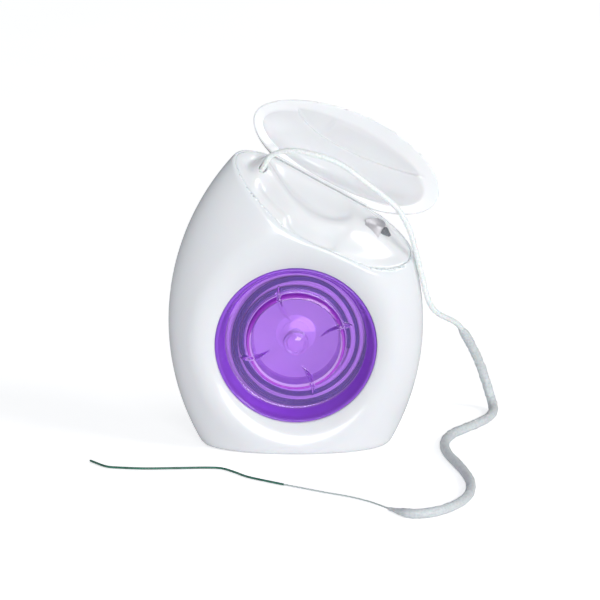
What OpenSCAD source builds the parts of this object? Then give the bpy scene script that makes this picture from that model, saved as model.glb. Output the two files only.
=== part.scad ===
/* [Body] */
// Half width of the body at its widest
body_half_w = 25.5; // [23:0.5:28]
// Half depth of the body at its widest
body_half_d = 9.7; // [9:0.1:12]
// Height of the widest section above the base
widest_z = 26; // [24:0.5:28]
// Radius of the side arcs seen from the front
side_r = 52; // [48:1:60]
// Radius of the closed lid's round top seen from the front
top_r = 17; // [14:0.5:20]
// Radius of the rounded edge round the base
base_r = 3.2; // [2.4:0.1:5]
// Thickness of the shells and of the lid
wall = 1.3; // [1:0.1:1.6]
// Radius of the pegs that join the two shells
peg_r = 1.2; // [0.9:0.1:1.4]
// Height of a peg beyond the joint face
peg_reach = 2.2; // [1:0.1:3]

/* [Lid and hinge] */
// Sideways place of the hinge's middle
hinge_x = 5; // [3:0.5:7]
// Depth of the hinge line inside the body's round back
hinge_inset = 1.43; // [1.2:0.01:1.6]
// Height of the hinge's middle above the centre of the round top
hinge_rise = 5.04; // [3:0.02:6]
// Fall of the hinge line to the right in degrees
hinge_slope = 29.6; // [25:0.2:35]
// Length of the hinge
hinge_len = 21; // [15:0.5:22]
// Radius of the hinge bead
hinge_r = 0.3; // [0.2:0.05:0.45]
// Opening of the lid as it is shown, in degrees
lid_open = 124; // [0:1:136]
// Gap between the closed lid and the body
lid_gap = 0.3; // [0.2:0.05:0.5]
// Radius of the curved seam between lid and body
seam_r = 29; // [27:0.5:40]
// Lean of the seam at the hinge in degrees
seam_lean = 20.6; // [16:0.2:24]

/* [Deck] */
// Depth of the valley beside the rim
valley_depth = 1; // [0.6:0.1:1.4]
// Thickness of the deck's plate
deck_t = 1.2; // [1:0.1:1.6]
// Distance of the dome from the outside of the body
dome_inset = 5; // [4.5:0.1:6]
// Height of the dome above the seam
dome_rise = 2; // [1:0.1:2.5]
// Radius of the floss outlet
outlet_r = 0.9; // [0.8:0.05:1.2]
// Length of the cutter along the hinge
cutter_len = 5.4; // [4:0.2:6]
// Height of the cutter above the dome
cutter_rise = 1.8; // [1.2:0.1:2.4]
// Thickness of the cutter's steel
cutter_t = 0.3; // [0.2:0.05:0.5]

/* [Dial] */
// Height of the dial's axis above the base
dial_z = 22.5; // [21.5:0.1:23.5]
// Depth of the dial's front edge behind the body's fullest front
dial_recess = 4.3; // [4:0.1:4.7]
// Radius of the dial's rim
dial_r = 16.1; // [15:0.1:16.5]
// Reach of the flange that keeps the dial in the shell
flange_reach = 1.5; // [1:0.1:1.8]
// Width of the winding space round the raised disc
winding_w = 6.2; // [6:0.1:7]
// Depth of the raised disc behind the rim
disc_depth = 2.1; // [1.5:0.1:2.5]
// Depth of the channel over the coil behind the rim
channel_depth = 3.5; // [3:0.1:4]
// Width of the sloped wall inside the dial's rim
slope_w = 1.9; // [1.2:0.1:2.2]
// Thickness of the purple plastic
dial_wall = 0.9; // [0.7:0.1:1.1]
// Depth of the winding space behind the dial's rim
winding_depth = 9.2; // [8.8:0.1:9.6]
// Number of grip ribs on the dial
rib_count = 4; // [3:1:6]
// Inset of the spool wheel behind the dial's rim
wheel_inset = 1.1; // [0.6:0.1:1.5]
// Radius of the spool wheel's hub plate
hub_r = 8.5; // [7:0.1:9]
// Number of spokes on the spool wheel
spoke_count = 6; // [3:1:8]
// Width of a spoke
spoke_w = 3.5; // [2:0.1:4]
// Thickness of the spool wheel
wheel_t = 1.2; // [1:0.1:1.4]
// Radius of the spindle
spindle_r = 1.5; // [1:0.1:1.8]

/* [Floss] */
// Diameter of the floss
floss_d = 1.1; // [0.9:0.05:1.2]
// Diameter of the spongy stretch
sponge_d = 1.9; // [1.6:0.1:2.2]
// Diameter of the thin tail
tail_d = 0.36; // [0.3:0.02:0.5]
// Diameter of the threader
threader_d = 0.46; // [0.4:0.02:0.6]
// Diameter of the floss where it is wound in the dial
wound_d = 1; // [0.8:0.05:1.05]
// Distance between two turns of wound floss
wound_pitch = 1.55; // [1.5:0.05:1.6]
// Turns of floss in one layer
wound_turns = 2; // [1:0.5:2]
// Distance between the wound threader's turns
threader_pitch = 1; // [0.95:0.05:1.1]
// Turns of the wound threader
threader_turns = 3; // [1:0.5:3]

/* [Hidden] */
$fn = 64;
// Clearance of a running pin, a fixed pin and a plain gap
running = 0.05;
snug = 0.02;
clear = 0.3;
// Larger than the whole object, for cutting tools
big = 120;

// Egg outline seen from the front, which dips a little below the base before it is cut flat
dip = 0.12;
side_x = body_half_w - side_r;
corner_z = base_r - dip;
corner_x = side_x + sqrt(pow(side_r - base_r, 2) - pow(widest_z - corner_z, 2));
crown_z = widest_z + sqrt(pow(side_r - top_r, 2) - pow(side_x, 2));
low_angle = atan2(corner_z - widest_z, corner_x - side_x);
high_angle = atan2(crown_z - widest_z, -side_x);
function outline_r(z) = z > widest_z + side_r * sin(high_angle)
    ? sqrt(pow(top_r, 2) - pow(z - crown_z, 2))
    : side_x + sqrt(pow(side_r, 2) - pow(z - widest_z, 2));
function body_depth(x, z) = body_half_d / body_half_w * sqrt(pow(outline_r(z), 2) - pow(x, 2));

// Sizes that follow from the ones above
hinge_z = crown_z + hinge_rise;
hinge_y = body_depth(hinge_x, hinge_z) - hinge_inset;
dial_front = body_half_d - dial_recess;
flange_r = dial_r + flange_reach;
channel_r = dial_r - slope_w;
disc_r = dial_r - winding_w;
wheel_r = dial_r - wheel_inset;

function arc_points(x, z, r, from, to, steps) =
    [for (i = [0:steps]) let (a = from + (to - from) * i / steps) [x + r * cos(a), z + r * sin(a)]];

module egg_outline(inset) {
    side = arc_points(side_x, widest_z, side_r - inset, low_angle, high_angle, 14);
    polygon(concat(
        [[0, inset - dip]],
        arc_points(corner_x, corner_z, base_r - inset, -90, low_angle, 4),
        [for (i = [1:13]) side[i]],
        arc_points(0, crown_z, top_r - inset, high_angle, 90, 8)));
}

// The flattened egg, drawn in by the inset all round
module egg(inset) {
    scale([1, (body_half_d - inset) / (body_half_w - inset), 1])
        rotate_extrude() egg_outline(inset);
}

// Hinge frame: x runs along the hinge, y to the rear and z away from the deck
module at_hinge() {
    translate([hinge_x, hinge_y, hinge_z]) rotate([0, hinge_slope, 0]) children();
}

module swing(angle) {
    at_hinge() rotate([-angle, 0, 0]) rotate([0, -hinge_slope, 0])
        translate([-hinge_x, -hinge_y, -hinge_z]) children();
}

// Round seam between lid and body, which passes through the hinge
module seam_roll(grow) {
    translate([-big / 2, seam_r * sin(seam_lean), -seam_r * cos(seam_lean)])
        rotate([0, 90, 0]) cylinder(r = seam_r + grow, h = big, $fn = 180);
}

// Space above the seam
cap_floor = -10.8;
module cap_space(grow) {
    at_hinge() difference() {
        translate([-big / 2, -big / 2, cap_floor]) cube([big, big, big]);
        seam_roll(grow);
    }
}

// Flat lands behind the hinge, which let the lid swing back
lid_land = 16;
body_land = 24;
module behind_lid_land(inset) {
    at_hinge() rotate([-lid_land, 0, 0]) translate([-big / 2, -inset, -big / 2]) cube(big);
}

module behind_body_land(inset) {
    at_hinge() rotate([body_land, 0, 0]) translate([-big / 2, -inset, -big / 2]) cube(big);
}

module hinge_bore() {
    at_hinge() translate([-big / 2, 0, 0]) rotate([0, 90, 0])
        cylinder(r = hinge_r + running, h = big, $fn = 32);
}

module egg_wall() {
    difference() {
        egg(0);
        difference() {
            egg(wall);
            behind_body_land(wall);
        }
        behind_body_land(0);
        cap_space(0);
        hinge_bore();
        translate([-big / 2, -big / 2, -big]) cube(big);
    }
}

module half_space(side) {
    translate([-big / 2, side > 0 ? 0 : -big, -big / 4]) cube(big);
}

// Dial frame: z points forward out of the dial, with 0 at the joint face
module at_dial() {
    translate([0, 0, dial_z]) rotate([90, 0, 0]) children();
}

// Dished ring round the dial, as a band behind its sloped face
dish_w = 6.1;
dish_rise = 4.8;
lip_t = 1.2;
dish_edge_r = dial_r + clear;
dish_out_r = dish_edge_r + dish_w;
lip_front = dial_front + 0.1;
lip_back = lip_front - lip_t;
dish_out = lip_front + dish_rise;
module dish_ring() {
    at_dial() rotate_extrude($fn = 96) polygon([
        [dish_edge_r, lip_front], [dish_out_r, dish_out], [dish_out_r, dish_out - wall * 1.4],
        [flange_r + clear, lip_back], [dish_edge_r, lip_back]]);
}

module dish_cut() {
    at_dial() rotate_extrude($fn = 96) polygon([
        [0, 0], [dish_edge_r, 0], [dish_edge_r, lip_front], [dish_out_r, dish_out],
        [dish_out_r, 2 * dish_out], [0, 2 * dish_out]]);
}

// Room that the deck leaves to the dished ring and to the dial
module dish_room() {
    at_dial() rotate_extrude($fn = 96) polygon([
        [0, 0], [flange_r + clear, 0], [flange_r + 2 * clear, lip_back - clear],
        [dish_out_r + clear, dish_out - wall * 1.4], [dish_out_r + clear, big], [0, big]]);
}

// Pegs on the front shell and sockets on the rear shell, placed round the dial
peg_ring = 4.8;
top_peg_ring = 2.9;
peg_angles = [25, 155, 223, 317];
top_peg_angle = 101;
function round_dial(r, a) = [r * cos(a), dial_z + r * sin(a)];
peg_places = concat([for (a = peg_angles) round_dial(flange_r + peg_ring, a)],
    [round_dial(flange_r + top_peg_ring, top_peg_angle)]);
socket_wall = 0.7;
module at_pegs() {
    for (p = peg_places) translate([p[0], 0, p[1]]) rotate([90, 0, 0]) children();
}

// Rests under the deck, as places along and before the hinge line
rest_w = 3;
front_rests = [[-7, 11.2], [10, 11.6]];
rear_rests = [[-7, 1.6], [8, 1.2]];
module deck_rests(places) {
    at_hinge() intersection() {
        seam_roll(-valley_depth - deck_t - 2 * running);
        union() {
            for (p = places) translate([p[0] - rest_w / 2, -p[1] - rest_w / 2, -9]) cube([rest_w, rest_w, 9]);
        }
    }
}

module front_shell() {
    color("white") {
        difference() {
            union() {
                egg_wall();
                intersection() {
                    egg(0);
                    dish_ring();
                }
            }
            half_space(1);
            dish_cut();
            cap_space(0);
        }
        intersection() {
            egg(wall / 2);
            union() {
                at_pegs() translate([0, 0, -peg_reach]) cylinder(r = peg_r, h = big / 2);
                at_pegs() translate([0, 0, running]) cylinder(r = peg_r + socket_wall, h = big / 2);
                deck_rests(front_rests);
            }
        }
    }
}

boss_r = 3.2;
boss_gap = 0.2;
wheel_boss = 1.4;
boss_face = winding_depth - dial_front + wheel_t + wheel_boss;
spindle_end = body_half_d - wall / 2 - clear;
module rear_shell() {
    color("white") difference() {
        union() {
            difference() {
                egg_wall();
                half_space(-1);
            }
            intersection() {
                egg(wall / 2);
                union() {
                    at_pegs() mirror([0, 0, 1]) cylinder(r = peg_r + running + socket_wall, h = big / 2);
                    at_dial() translate([0, 0, -boss_face - big / 2]) cylinder(r = boss_r, h = big / 2);
                    deck_rests(rear_rests);
                }
            }
        }
        at_pegs() translate([0, 0, -peg_reach - clear]) cylinder(r = peg_r + running, h = big / 2);
        at_dial() translate([0, 0, -spindle_end - running]) cylinder(r = spindle_r + snug, h = spindle_end);
    }
}

outlet_x = -12.1;
outlet_y = -6;
cutter_x = 14;
cutter_y = -5;
tang_reach = 2.2;
function seam_height(y, grow) =
    sqrt(pow(seam_r + grow, 2) - pow(y - seam_r * sin(seam_lean), 2)) - seam_r * cos(seam_lean);
cutter_foot = seam_height(cutter_y, dome_rise);
deck_floor = -14;

module under_seam(grow) {
    at_hinge() seam_roll(grow);
}

module top_deck() {
    color("white") difference() {
        union() {
            intersection() {
                egg(wall + running);
                under_seam(-valley_depth);
            }
            intersection() {
                egg(dome_inset);
                under_seam(dome_rise);
            }
        }
        under_seam(-valley_depth - deck_t);
        intersection() {
            egg(dome_inset + deck_t);
            under_seam(dome_rise - deck_t);
        }
        at_hinge() {
            translate([-big / 2, -big / 2, -big + deck_floor]) cube(big);
            translate([outlet_x, outlet_y, -10]) cylinder(r = outlet_r, h = 15, $fn = 32);
            translate([cutter_x - cutter_len / 2 - running, cutter_y - cutter_t / 2 - running,
                cutter_foot - tang_reach]) cube([cutter_len + 2 * running, cutter_t + 2 * running, 9]);
        }
        behind_body_land(wall + running);
        dish_room();
    }
}

module lid() {
    color("white") swing(lid_open) difference() {
        intersection() {
            egg(0);
            cap_space(lid_gap);
        }
        difference() {
            egg(wall);
            behind_lid_land(wall);
        }
        behind_lid_land(0);
        hinge_bore();
    }
}

module living_hinge() {
    color("whitesmoke") at_hinge() translate([-hinge_len / 2, 0, 0]) rotate([0, 90, 0])
        cylinder(r = hinge_r, h = hinge_len, $fn = 32);
}

// Upright blade with a round back, a floss notch and a tang in the deck
notch = 1.3;
module cutter_blade() {
    color("silver") at_hinge()
        translate([cutter_x, cutter_y + cutter_t / 2, cutter_foot]) rotate([90, 0, 0])
            linear_extrude(cutter_t) difference() {
                union() {
                    intersection() {
                        translate([0, cutter_rise - cutter_len / 2 - 0.6]) circle(cutter_len / 2 + 0.6);
                        translate([-cutter_len / 2, 0]) square([cutter_len, cutter_rise]);
                    }
                    translate([-cutter_len / 2, running - tang_reach]) square([cutter_len, tang_reach]);
                }
                polygon([[cutter_len / 2, 0], [cutter_len / 2 - notch, 0],
                    [cutter_len / 2 - notch * 0.4, notch], [cutter_len / 2, notch * 0.8]]);
            }
}

// Turning dial in purple plastic
module dial_cover() {
    disc_face = dial_front - disc_depth;
    channel_face = dial_front - channel_depth;
    core_end = dial_front - winding_depth;
    socket_face = disc_face - dial_wall - 1.8;
    color("mediumpurple", 0.6) at_dial() {
        rotate_extrude($fn = 96) polygon([
            [0, disc_face + 0.55], [0.9, disc_face + 0.45], [1.6, disc_face + 0.2], [1.9, disc_face],
            [2.1, disc_face + 0.3], [2.4, disc_face + 0.3], [2.5, disc_face],
            [disc_r - 0.4, disc_face], [disc_r, disc_face - 0.3], [disc_r, channel_face],
            [channel_r, channel_face], [dial_r - 0.6, dial_front], [dial_r, dial_front],
            [dial_r, lip_back - clear], [flange_r, lip_back - clear],
            [flange_r, lip_back - clear - dial_wall], [dial_r, lip_back - clear - dial_wall],
            [channel_r + dial_wall, channel_face - dial_wall], [disc_r, channel_face - dial_wall],
            [disc_r, core_end], [disc_r - dial_wall, core_end],
            [disc_r - dial_wall, disc_face - dial_wall],
            [spindle_r + running + dial_wall, disc_face - dial_wall],
            [spindle_r + running + dial_wall, socket_face], [spindle_r + running, socket_face],
            [spindle_r + running, disc_face - dial_wall], [0, disc_face - dial_wall]]);
        for (i = [0:rib_count - 1]) rotate(i * 360 / rib_count)
            translate([0, 0, channel_face - dial_wall / 2])
                linear_extrude(disc_face + rib_rise - channel_face + dial_wall / 2) rib_outline();
    }
}

// One grip rib seen from the front: the space between two arcs on one chord
rib_rise = 0.5;
rib_inner = [4.8 * cos(11.5), 4.8 * sin(11.5)];
rib_outer = [(disc_r + 2) * cos(16), (disc_r + 2) * sin(16)];
rib_chord = norm(rib_outer - rib_inner);
rib_bow = 1.4;
rib_hollow = 0.45;
module rib_outline() {
    function bow_r(bow) = (rib_chord * rib_chord / 4 + bow * bow) / (2 * bow);
    middle = (rib_inner + rib_outer) / 2;
    along = rib_outer - rib_inner;
    translate(middle) rotate(atan2(along[1], along[0])) difference() {
        translate([0, rib_bow - bow_r(rib_bow)]) circle(bow_r(rib_bow), $fn = 96);
        translate([0, rib_hollow - bow_r(rib_hollow)]) circle(bow_r(rib_hollow), $fn = 180);
    }
}

// White wheel behind the dial, with six spokes
wheel_ring_w = 2.2;
wheel_boss_r = 3.2;
module spool_wheel() {
    face = dial_front - winding_depth;
    color("snow") at_dial() difference() {
        union() {
            translate([0, 0, face - wheel_t]) linear_extrude(wheel_t) {
                circle(hub_r);
                difference() {
                    circle(wheel_r);
                    circle(wheel_r - wheel_ring_w);
                }
                for (i = [0:spoke_count - 1]) rotate(i * 360 / spoke_count - 90)
                    translate([0, -spoke_w / 2]) square([wheel_r - wheel_ring_w / 2, spoke_w]);
            }
            translate([0, 0, boss_gap - boss_face]) cylinder(r = wheel_boss_r, h = face + 0.8 + boss_face - boss_gap);
        }
        translate([0, 0, -big / 2]) cylinder(r = spindle_r + running, h = big);
    }
}

module spindle() {
    tip = dial_front - disc_depth - dial_wall - 0.1;
    color("gainsboro") at_dial() translate([0, 0, -spindle_end]) cylinder(r = spindle_r, h = spindle_end + tip);
}

// Tube swept along points: each ring is square to the route and turns as little as it can
function unit(v) = v / norm(v);
function way(p, i) = unit(p[min(i + 1, len(p) - 1)] - p[max(i - 1, 0)]);
function square_to(n, t) = unit(n - (n * t) * t);
function carried(p, i, n) =
    i == len(p) ? [] : let (m = square_to(n, way(p, i))) concat([m], carried(p, i + 1, m));
function ring(p, i, n, r, sides) =
    let (b = cross(way(p, i), n))
    [for (k = [0:sides - 1]) p[i] + r * (cos(360 * k / sides) * n + sin(360 * k / sides) * b)];

module tube(p, radii, first, last, sides, start) {
    normals = carried(p, 0, start);
    rings = last - first + 1;
    points = [for (i = [first:last]) each ring(p, i, normals[i], radii[i], sides)];
    walls = [for (i = [0:rings - 2]) for (k = [0:sides - 1]) let (
        a = i * sides + k,
        b = i * sides + (k + 1) % sides)
        each [[a, a + sides, b], [b, a + sides, b + sides]]];
    near = [for (k = [1:sides - 2]) [0, k, k + 1]];
    base = (rings - 1) * sides;
    far = [for (k = [1:sides - 2]) [base, base + k + 1, base + k]];
    polyhedron(points, concat(near, walls, far));
}

// Least distance between the stretches of a route that lie a good way apart along it
function least_gap(p, apart, d) = min([for (i = [0:len(p) - 1 - apart])
    min([for (j = [i + apart:len(p) - 1]) norm(p[i] - p[j])])]) - d;

// Coils in the dial frame, wound round the dial's core
steps = 24;
core_gap = 0.1;
layer_front = dial_front - channel_depth - dial_wall;
threader_layer = layer_front - core_gap - threader_d / 2;
floss_layer = threader_layer - threader_d / 2 - core_gap - wound_d / 2;
floss_layer_step = 1.9;
coil_inner = disc_r + core_gap + wound_d / 2;
coil_outer = coil_inner + wound_turns * wound_pitch;
coil_start = 165;
function wound_point(r, a, z) = [r * cos(a), r * sin(a), z];
coil_count = wound_turns * steps;
coil_route = concat(
    [for (i = [0:coil_count]) wound_point(coil_outer - wound_pitch * i / steps,
        coil_start + 360 * i / steps, floss_layer)],
    [for (i = [1:steps / 2]) wound_point(coil_inner, coil_start + 360 * (coil_count + i) / steps,
        floss_layer - floss_layer_step * i * 2 / steps)],
    [for (i = [1:coil_count]) wound_point(coil_inner + wound_pitch * i / steps,
        coil_start + 180 + 360 * i / steps, floss_layer - floss_layer_step)]);
threader_inner = disc_r + core_gap + threader_d / 2;
threader_route = [for (i = [0:threader_turns * steps])
    wound_point(threader_inner + 0.1 + threader_pitch * i / steps, 360 * i / steps, threader_layer)];
echo("least gap of the floss coil", least_gap(coil_route, steps * 0.75, wound_d));
echo("least gap of the threader coil", least_gap(threader_route, steps * 0.75, threader_d));

module floss_coil() {
    color("lavender") at_dial() tube(coil_route, [for (p = coil_route) wound_d / 2],
        0, len(coil_route) - 1, 6, [0, 0, 1]);
}

module threader_coil() {
    color("darkgreen") at_dial() tube(threader_route, [for (p = threader_route) threader_d / 2],
        0, len(threader_route) - 1, 6, [0, 0, 1]);
}

// Route of the strand from the coil to the tip of the threader
feed_route = [[-15.2, 1.2, 25.5], [-15.2, 1.1, 29], [-15, 0.8, 33], [-14.5, 0.4, 38], [-13.4, -0.1, 43],
    [-11.6, -0.7, 48], [-9.9, -1, 52], [-8.7, -1.1, 54.4], [-7.2, -1.1, 57]];
arch_route = [[-6.1, -1.1, 58.9], [-5.6, -1.2, 60], [-4.6, -1.4, 61], [-2.6, -1.8, 61.8], [0, -2.3, 62.1],
    [3.6, -2.8, 61.5], [6.8, -3.1, 60.6], [10, -3.2, 58.9], [13.4, -3, 56.2], [16.8, -2.6, 53.4],
    [20, -2.2, 50.4], [21.6, -2, 47.8], [22.8, -1.9, 45.1], [23.6, -1.8, 42.4]];
run_route = [[24.4, -1.7, 39], [25.3, -1.5, 35.5], [26.1, -1, 32], [27.2, 0.2, 29], [28.7, 2, 26.9],
    [30.5, 4.5, 25.2]];
sponge_route = [[32.8, 8.5, 22.6], [34.7, 12.8, 18.6], [36.1, 16.4, 15], [37.4, 19.5, 11.4], [38.5, 21.6, 7.9],
    [39.4, 22.5, 4.9], [40.1, 22.2, 2.6], [40.5, 20.6, 1.3], [40.5, 18.2, 1], [39.8, 15, 1], [37.8, 11.2, 1],
    [34.6, 7.2, 1], [31.8, 3.6, 1], [30.2, -0.6, 1], [29.9, -5, 1], [30.7, -9.8, 1], [32.3, -15.4, 1],
    [33.6, -20.6, 1], [34.4, -26, 1], [34.1, -31.6, 1], [32.8, -36, 1], [30.6, -39.6, 1], [28, -42.2, 1],
    [25, -43.8, 1], [22, -43.6, 0.9]];
tail_route = [[18.4, -40, 0.5], [14.6, -35.4, 0.3], [10.6, -32.4, 0.3], [6, -30, 0.3], [1.8, -27.6, 0.3]];
threader_free = [[-2.4, -25.2, 0.3], [-6, -23, 0.3], [-9.6, -20.6, 0.3], [-12.4, -17.6, 0.3],
    [-14.8, -15.6, 0.3], [-18, -15.2, 0.3], [-24, -15.5, 0.3], [-30, -15.7, 0.3], [-35, -15.2, 0.3],
    [-37.8, -14.4, 0.3], [-41, -11, 0.3]];
route = concat(feed_route, arch_route, run_route, sponge_route, tail_route, threader_free);
feed_end = len(feed_route);
arch_end = feed_end + len(arch_route);
run_end = arch_end + len(run_route);
sponge_end = run_end + len(sponge_route);
tail_end = sponge_end + len(tail_route);
route_radii = concat(
    [for (i = [0:run_end]) floss_d / 2],
    [for (i = [run_end + 1:run_end + 2]) sponge_d / 2 * 0.85],
    [for (i = [run_end + 3:sponge_end - 2]) sponge_d / 2],
    [sponge_d / 2 * 0.8],
    [for (i = [sponge_end:tail_end - 1]) tail_d / 2],
    [for (i = [tail_end:len(route) - 1]) threader_d / 2]);
echo("rings on the strand", len(route));
echo("length of the free strand", route_length(feed_end));
function route_length(from) = sum([for (i = [from:len(route) - 2]) norm(route[i + 1] - route[i])], 0);
function sum(list, i) = i == len(list) ? 0 : list[i] + sum(list, i + 1);

module strand(first, last) {
    tube(route, route_radii, first, last, 8, [1, 0, 0]);
}

module floss_feed() {
    color("white") strand(0, feed_end);
}

module floss_arch() {
    color("white") strand(feed_end, arch_end);
}

module floss_run() {
    color("white") strand(arch_end, run_end);
}

module floss_sponge() {
    color("white") strand(run_end, sponge_end);
}

module floss_tail() {
    color("white") strand(sponge_end, tail_end);
}

module floss_threader() {
    color("darkgreen") strand(tail_end, len(route) - 1);
}

front_shell();
rear_shell();
top_deck();
lid();
living_hinge();
cutter_blade();
dial_cover();
spool_wheel();
spindle();
floss_coil();
threader_coil();
floss_feed();
floss_arch();
floss_run();
floss_sponge();
floss_tail();
floss_threader();
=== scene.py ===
import math
import bpy
import numpy as np
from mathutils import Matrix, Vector


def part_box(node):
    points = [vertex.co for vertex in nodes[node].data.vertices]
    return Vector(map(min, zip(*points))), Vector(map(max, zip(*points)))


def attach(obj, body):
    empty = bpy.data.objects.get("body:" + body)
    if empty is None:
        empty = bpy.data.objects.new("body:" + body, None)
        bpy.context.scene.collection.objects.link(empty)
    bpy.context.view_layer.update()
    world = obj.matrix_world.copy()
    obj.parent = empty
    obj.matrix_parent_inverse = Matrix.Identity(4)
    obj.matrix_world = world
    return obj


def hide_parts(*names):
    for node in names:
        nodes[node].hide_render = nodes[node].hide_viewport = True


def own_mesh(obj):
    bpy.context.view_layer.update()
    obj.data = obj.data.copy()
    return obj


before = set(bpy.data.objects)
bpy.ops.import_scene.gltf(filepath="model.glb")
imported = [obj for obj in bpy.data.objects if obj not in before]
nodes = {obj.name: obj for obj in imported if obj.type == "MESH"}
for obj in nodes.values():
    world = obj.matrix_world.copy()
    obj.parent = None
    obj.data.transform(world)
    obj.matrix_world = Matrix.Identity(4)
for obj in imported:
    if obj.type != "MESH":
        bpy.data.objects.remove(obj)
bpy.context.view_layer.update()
MM = 0.001

# ---------------------------------------------------------------- camera
TILT = math.radians(17.4)
TARGET = Vector((0.00084, 0.0, 0.03047))
camera_data = bpy.data.cameras.new("camera")
camera_data.sensor_width = 36
camera_data.lens = 300
camera_data.clip_start = 0.05
camera_data.clip_end = 20
camera = bpy.data.objects.new("camera", camera_data)
bpy.context.scene.collection.objects.link(camera)
camera.location = TARGET + Vector((0, -math.cos(TILT), math.sin(TILT)))
camera.rotation_euler = (math.pi / 2 - TILT, 0, 0)
bpy.context.scene.camera = camera


# ---------------------------------------------------------------- materials
def material(name, color, rough, **sockets):
    """A principled material, with its nodes, links and shader."""
    m = bpy.data.materials.new(name)
    m.use_nodes = True
    tree = m.node_tree
    shader = tree.nodes["Principled BSDF"]
    shader.inputs["Base Color"].default_value = (*color, 1)
    shader.inputs["Roughness"].default_value = rough
    for key, value in sockets.items():
        shader.inputs[key.replace("_", " ")].default_value = value
    return m, tree, shader


def noise(tree, scale, detail=3, stretch=None):
    """Noise in the piece's own metres, stretched along an axis where asked."""
    place = tree.nodes.new("ShaderNodeTexCoord")
    texture = tree.nodes.new("ShaderNodeTexNoise")
    texture.inputs["Scale"].default_value = scale
    texture.inputs["Detail"].default_value = detail
    if stretch:
        turn = tree.nodes.new("ShaderNodeMapping")
        turn.inputs["Scale"].default_value = stretch
        tree.links.new(place.outputs["Object"], turn.inputs["Vector"])
        tree.links.new(turn.outputs["Vector"], texture.inputs["Vector"])
    else:
        tree.links.new(place.outputs["Object"], texture.inputs["Vector"])
    return texture.outputs["Fac"]


def ramp(tree, source, low, high, start=0.35, end=0.65):
    """Colours or greys from low to high over the source's values."""
    r = tree.nodes.new("ShaderNodeValToRGB")
    for stop, position, value in zip(r.color_ramp.elements, (start, end), (low, high)):
        stop.position = position
        stop.color = (*value, 1) if isinstance(value, tuple) else (value, value, value, 1)
    tree.links.new(source, r.inputs["Fac"])
    return r.outputs["Color"]


def bump(tree, shader, height, distance, strength=1.0, after=None):
    """Relief in the shading, distance in metres, on top of an earlier one where given."""
    b = tree.nodes.new("ShaderNodeBump")
    b.inputs["Distance"].default_value = distance
    b.inputs["Strength"].default_value = strength
    tree.links.new(height, b.inputs["Height"])
    if after:
        tree.links.new(after, b.inputs["Normal"])
    tree.links.new(b.outputs["Normal"], shader.inputs["Normal"])
    return b.outputs["Normal"]


def white_plastic(name, color, rough, seed):
    """Moulded plastic: faint flow marks in colour and gloss, and a very fine skin."""
    m, tree, shader = material(name, color, rough, Subsurface_Weight=0.12, Subsurface_Scale=0.002,
                               IOR=1.5, Coat_Weight=0.25, Coat_Roughness=0.06)
    low = tuple(c * 0.985 for c in color)
    flow = noise(tree, 60 + seed, 2, (1, 1, 0.35))
    tree.links.new(ramp(tree, flow, low, color), shader.inputs["Base Color"])
    tree.links.new(ramp(tree, noise(tree, 240 + seed, 4), rough * 0.92, rough * 1.1), shader.inputs["Roughness"])
    fine = bump(tree, shader, noise(tree, 5200, 2), 0.000005, 0.4)
    bump(tree, shader, noise(tree, 330 + seed, 1), 0.00001, 0.12, fine)
    return m


shell_white = white_plastic("shell_plastic", (0.80, 0.815, 0.845), 0.2, 0)
lid_white = white_plastic("lid_plastic", (0.90, 0.91, 0.93), 0.24, 7)
deck_white = white_plastic("deck_plastic", (0.80, 0.815, 0.84), 0.22, 13)
wheel_white = white_plastic("wheel_plastic", (0.82, 0.82, 0.86), 0.4, 21)
hinge_white = white_plastic("hinge_plastic", (0.74, 0.75, 0.77), 0.45, 29)


def clear_purple(name, color, spread, transmission):
    """See-through plastic, which lets the light of lamps and bounces through, tinted."""
    m, tree, shader = material(name, color, 0.05, IOR=1.46, Transmission_Weight=transmission, Coat_Weight=0.3,
                               Coat_Roughness=0.03)
    low = tuple(max(0, c - spread) for c in color)
    tree.links.new(ramp(tree, noise(tree, 90, 2), low, color), shader.inputs["Base Color"])
    tree.links.new(ramp(tree, noise(tree, 300, 4), 0.04, 0.07), shader.inputs["Roughness"])
    bump(tree, shader, noise(tree, 240, 1), 0.00001, 0.2)
    ray = tree.nodes.new("ShaderNodeLightPath")
    passing = tree.nodes.new("ShaderNodeMath")
    passing.operation = "MAXIMUM"
    tinted = tree.nodes.new("ShaderNodeBsdfTransparent")
    tinted.inputs["Color"].default_value = (0.95, 0.82, 1.0, 1)
    choice = tree.nodes.new("ShaderNodeMixShader")
    tree.links.new(ray.outputs["Is Shadow Ray"], passing.inputs[0])
    tree.links.new(ray.outputs["Is Diffuse Ray"], passing.inputs[1])
    tree.links.new(passing.outputs[0], choice.inputs[0])
    tree.links.new(shader.outputs["BSDF"], choice.inputs[1])
    tree.links.new(tinted.outputs["BSDF"], choice.inputs[2])
    tree.links.new(choice.outputs[0], tree.nodes["Material Output"].inputs["Surface"])
    return m


purple = clear_purple("purple_plastic", (0.63, 0.35, 1.0), 0.03, 0.92)
purple_rim = clear_purple("purple_rim_plastic", (0.34, 0.105, 0.80), 0.02, 0.35)
purple_edge = clear_purple("purple_edge_plastic", (0.44, 0.06, 0.72), 0.02, 0.5)


def brushed_steel(name, low, high):
    """Steel with fine brush marks along its length."""
    m, tree, shader = material(name, high, 0.28, Metallic=1.0, Anisotropic=0.5)
    brushed = noise(tree, 4200, 3, (1, 1, 0.12))
    tree.links.new(ramp(tree, brushed, low, high), shader.inputs["Base Color"])
    tree.links.new(ramp(tree, brushed, 0.32, 0.38), shader.inputs["Roughness"])
    bump(tree, shader, brushed, 0.000001, 0.1)
    return m


steel = brushed_steel("cutter_steel", (0.64, 0.63, 0.67), (0.68, 0.67, 0.71))
# Darker steel for the tooth plate: painted shade, a dark sheet standing in for the shadow in the blade's notch
tooth_shade_steel = brushed_steel("tooth_painted_shade_steel", (0.24, 0.25, 0.26), (0.34, 0.35, 0.37))


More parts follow.
